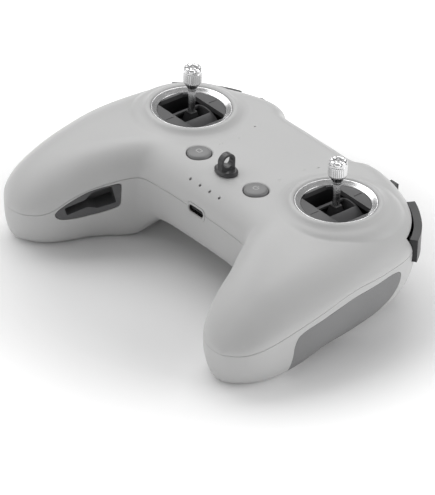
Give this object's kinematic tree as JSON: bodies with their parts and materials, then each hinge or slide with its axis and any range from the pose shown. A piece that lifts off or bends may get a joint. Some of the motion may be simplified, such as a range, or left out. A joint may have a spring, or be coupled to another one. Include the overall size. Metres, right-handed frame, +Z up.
{
  "type": "radio transmitter controller",
  "caption": "Two-handed radio transmitter controller with two metal sticks on gimbals, face keys, lanyard eye, rear dial and switch, grip pads and stick storage slots.",
  "frame": {"origin": "middle of the bounding box on the surface the controller stands on, under its handles", "axes": "+X to the user's right, +Y away from the user, +Z up out of the face"},
  "size_m": [0.165, 0.1156, 0.0637],
  "materials": {
    "shell_grey": "fine satin moulding texture",
    "shell_trim": "satin",
    "grip_rubber": "matte elastomer",
    "insert_dark": "matte",
    "key_black": "satin",
    "key_grey": "satin",
    "eye_dark": "satin coated",
    "lamp_clear": "smoked",
    "ring_silver": "fine turned",
    "gimbal_dark": "satin",
    "gimbal_black": "satin",
    "gimbal_mid": "satin",
    "stick_metal": "machined and knurled",
    "contact_metal": "bright",
    "board_green": "solder mask",
    "board_dark": "matte",
    "cell_wrap": "shrink wrap",
    "screw_steel": "blackened"
  },
  "bodies": {
    "case": {"top_shell": "shell_grey", "bottom_shell": "shell_grey", "grip_pad_left": "grip_rubber", "grip_pad_right": "grip_rubber", "storage_insert_left": "insert_dark", "storage_insert_right": "insert_dark", "usb_bezel": "shell_trim", "usb_socket": "contact_metal", "usb_tongue": "board_dark", "lanyard_eye": "eye_dark", "status_lamps": "lamp_clear", "stick_ring_left": "ring_silver", "stick_ring_right": "ring_silver", "gimbal_bezel_left": "gimbal_dark", "gimbal_bezel_right": "gimbal_dark", "gimbal_housing_left": "gimbal_black", "gimbal_housing_right": "gimbal_black", "main_board": "board_green", "key_board": "board_green", "battery": "cell_wrap", "antenna_left": "board_dark", "antenna_right": "board_dark", "key_switch_left": "board_dark", "key_switch_right": "board_dark", "mode_switch_base": "board_dark", "dial_cradle": "board_dark", "case_screws": "screw_steel"},
    "left_yoke": {"gimbal_drum_left": "gimbal_mid"},
    "left_stick": {"gimbal_rocker_left": "gimbal_black", "stick_rod_left": "stick_metal", "stick_cap_left": "stick_metal"},
    "right_yoke": {"gimbal_drum_right": "gimbal_mid"},
    "right_stick": {"gimbal_rocker_right": "gimbal_black", "stick_rod_right": "stick_metal", "stick_cap_right": "stick_metal"},
    "left_face_key": {"face_key_left": "key_grey"},
    "right_face_key": {"face_key_right": "key_grey"},
    "left_shoulder_key": {"shoulder_key_left": "key_black"},
    "right_shoulder_key": {"shoulder_key_right": "key_black"},
    "switch_slider": {"mode_switch": "key_black"},
    "dial_wheel": {"rear_dial": "key_black"}
  },
  "joints": [
    {"name": "left_stick_sideways", "type": "hinge", "parent": "case", "child": "left_yoke", "pos_m": [-0.045, 0.01956, 0.0304], "axis": [0, 1, 0], "range_deg": [-22, 22], "stiffness_Nm_per_rad": 0.05},
    {"name": "left_stick_fore_aft", "type": "hinge", "parent": "left_yoke", "child": "left_stick", "pos_m": [-0.045, 0.01956, 0.0304], "axis": [1, 0, 0], "range_deg": [-22, 22]},
    {"name": "left_face_key_press", "type": "slide", "parent": "case", "child": "left_face_key", "axis": [0, 0, -1], "range_m": [0, 0.0006], "stiffness_N_per_m": 800},
    {"name": "left_shoulder_key_press", "type": "slide", "parent": "case", "child": "left_shoulder_key", "axis": [0.6211, -0.7837, 0], "range_m": [0, 0.0007], "stiffness_N_per_m": 800},
    {"name": "right_stick_sideways", "type": "hinge", "parent": "case", "child": "right_yoke", "pos_m": [0.045, 0.01956, 0.0304], "axis": [0, 1, 0], "range_deg": [-22, 22], "stiffness_Nm_per_rad": 0.05},
    {"name": "right_stick_fore_aft", "type": "hinge", "parent": "right_yoke", "child": "right_stick", "pos_m": [0.045, 0.01956, 0.0304], "axis": [1, 0, 0], "range_deg": [-22, 22], "stiffness_Nm_per_rad": 0.05},
    {"name": "right_face_key_press", "type": "slide", "parent": "case", "child": "right_face_key", "axis": [0, 0, -1], "range_m": [0, 0.0006], "stiffness_N_per_m": 800},
    {"name": "right_shoulder_key_press", "type": "slide", "parent": "case", "child": "right_shoulder_key", "axis": [-0.6211, -0.7837, 0], "range_m": [0, 0.0007], "stiffness_N_per_m": 800},
    {"name": "mode_switch_slide", "type": "slide", "parent": "case", "child": "switch_slider", "axis": [1, 0, 0], "range_m": [-0.003, 0.003]},
    {"name": "dial_turn", "type": "hinge", "parent": "case", "child": "dial_wheel", "pos_m": [-0.0385, 0.05137, 0.0342], "axis": [1, 0, 0], "range_deg": [-40, 40], "stiffness_Nm_per_rad": 0.004}
  ]
}
